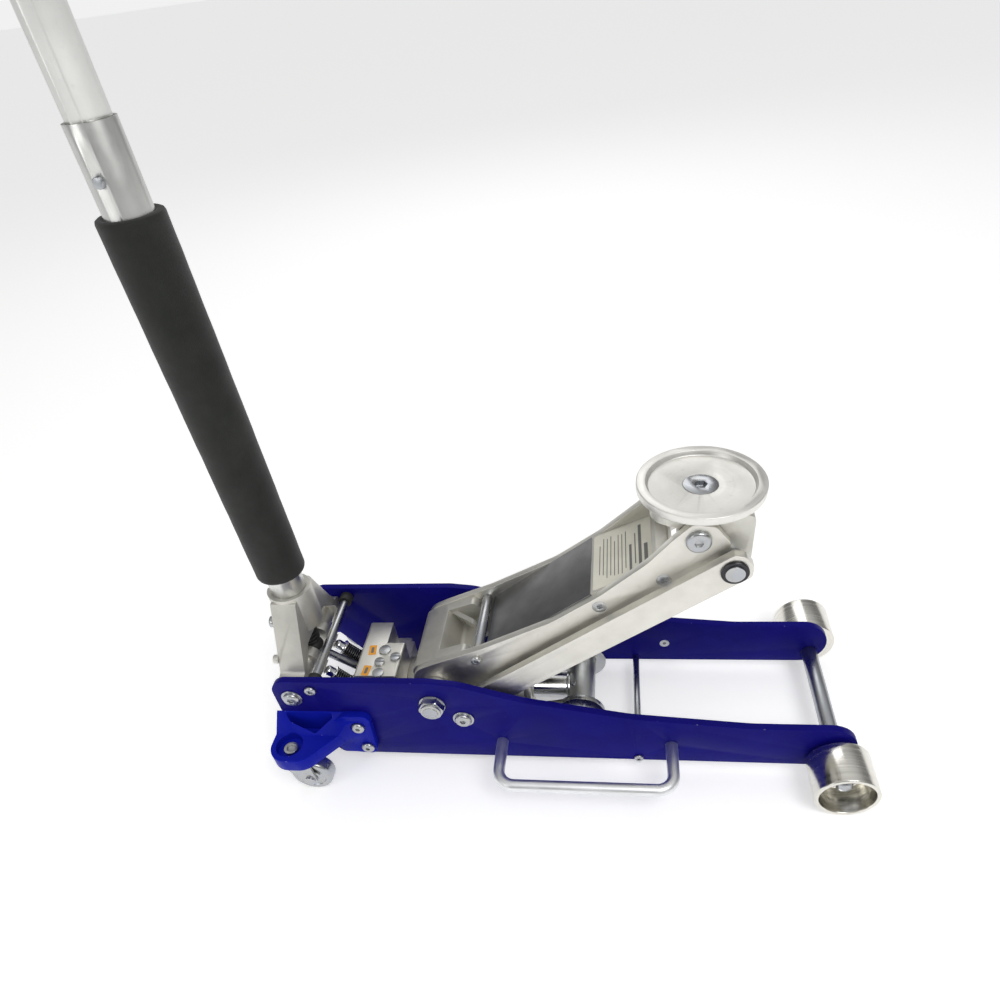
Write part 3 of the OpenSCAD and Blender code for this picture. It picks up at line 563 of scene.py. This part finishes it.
# %% Foam sleeve
sleeve_low, sleeve_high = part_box("foam_sleeve")
sleeve_length = (sleeve_high.z - sleeve_low.z) / MM
SLEEVE_R = (sleeve_high.y - sleeve_low.y) / MM / 2
SLEEVE_BORE = 19.1


def sleeve_profile():
    points = [(SLEEVE_BORE, 1.2), (SLEEVE_BORE + 1.2, 0.3), (SLEEVE_R - 2.5, 0.0), (SLEEVE_R - 0.9, 0.9),
              (SLEEVE_R - 0.2, 2.8)]
    waves = 26
    for i in range(waves + 1):
        h = 6 + (sleeve_length - 12) * i / waves
        points.append((SLEEVE_R - 0.18 - 0.16 * math.sin(i * 1.9) * math.sin(i * 0.7), h))
    points += [(r, sleeve_length - h) for r, h in reversed(points[:5])]
    return points + [points[0]]


handle_axis = Vector((middle("handle_tube").x, 0, 0))
sleeve = lathe("handle_foam", sleeve_profile(), handle_axis + UP * sleeve_low.z, UP, sleeve_foam, "handle", 72)
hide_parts("foam_sleeve")

# %% [markdown]
# ## Rubber grip
# The top of the handle has a moulded grip with rings that stop the hand slipping, and a domed end.

# %% Handle grip
grip_low, grip_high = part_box("handle_grip")
grip_length = (grip_high.z - grip_low.z) / MM
GRIP_R, GRIP_BORE, GROOVE_R, RIB_R = 19.5, 16.3, 18.2, 18.9
RIB_STEP = 7.0


def grip_profile():
    points = [(GRIP_BORE, 0.0), (18.6, 0.0), (19.3, 0.8), (GRIP_R, 2.5), (GRIP_R, 9.0), (GROOVE_R, 10.4)]
    h = 13.0
    while h < grip_length - 20:
        points += [(GROOVE_R, h), (RIB_R, h + 0.7), (RIB_R, h + 3.6), (GROOVE_R, h + 4.3)]
        h += RIB_STEP
    top = grip_length
    return points + [(GRIP_R, top - 13), (GRIP_R, top - 5), (18.6, top - 2.2), (15.5, top - 0.4), (0, top),
                     (0, top - 8), (GRIP_BORE, top - 8), (GRIP_BORE, 0.0)]


grip = lathe("ribbed_grip", grip_profile(), handle_axis + UP * grip_low.z, UP, black_rubber, "handle")
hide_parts("handle_grip")

# %% [markdown]
# ## Springs
# Each plunger is pushed back out by a coil spring between its collar and the gland. The ram's return spring hides
# in the cylinder: a coil of flat turns round the ram.

# %% Plunger springs and return spring
plunger_axis = slide_axis("pump_stroke")
handle_pivot = pivot("handle_tilt")
PLUNGER_Y, SPRING_START, SPRING_END = 20.9, 36.7, 57.8


def make_plunger_springs():
    for side, label in ((RIGHT, "right"), (LEFT, "left")):
        start = handle_pivot + ACROSS * side * PLUNGER_Y * MM
        far_end = start + plunger_axis * SPRING_END * MM
        spring = coil("plunger_spring_" + label, far_end, -plunger_axis, 8.8, 0.95, SPRING_END - SPRING_START, 7,
                      black_oxide, "frame")
        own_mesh(spring)
        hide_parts("plunger_springs")


make_plunger_springs()
ram_low, ram_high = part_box("return_spring")
ram_axis = Vector((ram_low.x, 0, (ram_low.z + ram_high.z) / 2))
ram_spring = coil("ram_return_coil", ram_axis, FRONT, 16.0, 0.75, (ram_high.x - ram_low.x) / MM, 14, zinc, "frame")
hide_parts("return_spring")

# %% [markdown]
# ## Stickers
# A plain cream sticker lies on the sloping panel of the arm, behind the saddle, and two small orange ones mark the
# pump block. They carry ruled bars, and no words.

# %% Arm sticker and block stickers
PANEL_START, PANEL_END = (216.5, 1.2), (284.0, -13.0)   # along and square to the arm


STICKER_RULES = [(-24, 0.9, 44, 0), (-20, 0.9, 56, 4), (-16, 0.9, 60, 0), (-12, 0.9, 60, 2), (-8, 0.9, 52, -4),
                 (-4, 0.9, 60, 0), (0, 0.9, 60, -1), (4, 0.9, 56, 3), (9, 2.6, 40, -12), (14, 1.2, 46, 0),
                 (19, 3.2, 60, 4), (25, 3.8, 36, -16)]      # place, width, length and side shift, in mm


def make_arm_sticker():
    start, end = on_arm(PANEL_START[0], 0, PANEL_START[1]), on_arm(PANEL_END[0], 0, PANEL_END[1])
    along = (end - start).normalized()
    normal = along.cross(ACROSS)
    centre = start + (end - start) * 0.49
    plaque("arm_sticker", centre, along, ACROSS, (62, 82), 0.25, 2.0, cream_paper, "lift_arm")
    top = centre + normal * 0.25 * MM
    for i, (place, width, length, shift) in enumerate(STICKER_RULES):
        spot = top + along * place * MM + ACROSS * shift * MM
        plaque(f"sticker_rule_{i}", spot, along, ACROSS, (width, length), 0.06, 0.3, grey_ink, "lift_arm")


def make_block_stickers():
    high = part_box("pump_block")[1]
    top = high.z
    for i, (x, y, turn) in enumerate(((37, -3, 6), (37, -34.5, -4))):
        along = Matrix.Rotation(math.radians(turn), 3, "Z") @ FRONT
        spot = Vector((high.x - x * MM, y * MM, top))
        plaque(f"block_sticker_{i}", spot, along, UP.cross(along), (9, 15), 0.2, 1.0, orange_paper, "frame")
        plaque(f"block_sticker_rule_{i}", spot + UP * 0.2 * MM, along, UP.cross(along), (3.4, 9), 0.05, 0.8,
               grey_ink, "frame")


make_arm_sticker()
make_block_stickers()

# %% [markdown]
# ## Washers, set screw and lock rings
# Small pieces make a jack look assembled: a washer under each shoulder bolt's head, the nylon ring in each lock nut,
# and the set screw that keeps the crosshead from turning on the ram.

# %% Small fasteners
NUT_FACE = 11.5                                         # outer face of a main nut, from its side plate
CLIP_R, CLIP_INNER, CLIP_OUTER = 12.1, 66.35, 68.6      # the retaining rings of the link pin
plate_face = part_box("side_plate_left")[1].y
RAM_RING_BACK = 16.7                                    # rear face of the ram's ring, behind the crosshead's axis
nylon = rubber_finish("nylon_ring", (0.50, 0.50, 0.46), 0.40, 900, 0.02)


def make_washers():
    link_pivot = pivot("right_link_turn")
    for side, label in ((RIGHT, "right"), (LEFT, "left")):
        out = ACROSS * side
        for i, at in enumerate((handle_pivot, link_pivot)):
            base = Vector((at.x, side * plate_face, at.z))
            lathe(f"bolt_washer_{label}_{i}", [(9.3, 0), (11.6, 0), (11.9, 0.3), (11.9, 1.0), (11.6, 1.3), (9.3, 1.3),
                                              (9.3, 0)], base, out, zinc, "frame", 40)
        nut = Vector((main_pivot.x, side * (plate_face + NUT_FACE * MM), main_pivot.z))
        lathe(f"lock_ring_{label}", [(8.1, -1.0), (8.1, 0.25), (9.2, 0.25), (9.5, -0.1), (9.5, -1.0), (8.1, -1.0)], nut,
              out, nylon, "frame", 40)


def make_link_clips():
    pin = middle("link_pin")
    width = CLIP_OUTER - CLIP_INNER
    for side, label in ((RIGHT, "right"), (LEFT, "left")):
        base = Vector((pin.x, side * CLIP_INNER * MM, pin.z))
        lathe(f"link_clip_{label}", [(8.6, 0), (CLIP_R, 0), (CLIP_R, width - 0.4), (CLIP_R - 0.4, width),
                                    (8.9, width), (8.6, width - 0.3), (8.6, 0)], base, ACROSS * side, black_oxide,
              "bracket", 48)


def make_ram_ring():
    crosshead = middle("crosshead")
    base = crosshead - FRONT * RAM_RING_BACK * MM
    lathe("ram_stop_ring", [(15.0, 0), (16.3, 0), (16.7, 0.4), (16.7, 1.6), (16.3, 2.0), (15.0, 2.0), (15.0, 0)], base,
          FRONT, zinc, "ram_set", 56)


def make_set_screw():
    bar = middle("crosshead")
    axis = Vector((-0.55, 0, 0.83)).normalized()
    base = bar + axis * 15.2 * MM + ACROSS * -9 * MM
    lathe("crosshead_screw", [(0, 0), (3.2, 0), (3.2, 1.5), (2.7, 2.0), (1.5, 2.0), (1.5, 0.8), (0, 0.8)], base, axis,
          zinc, "ram_set", 24)


make_washers()
make_link_clips()
make_ram_ring()
make_set_screw()
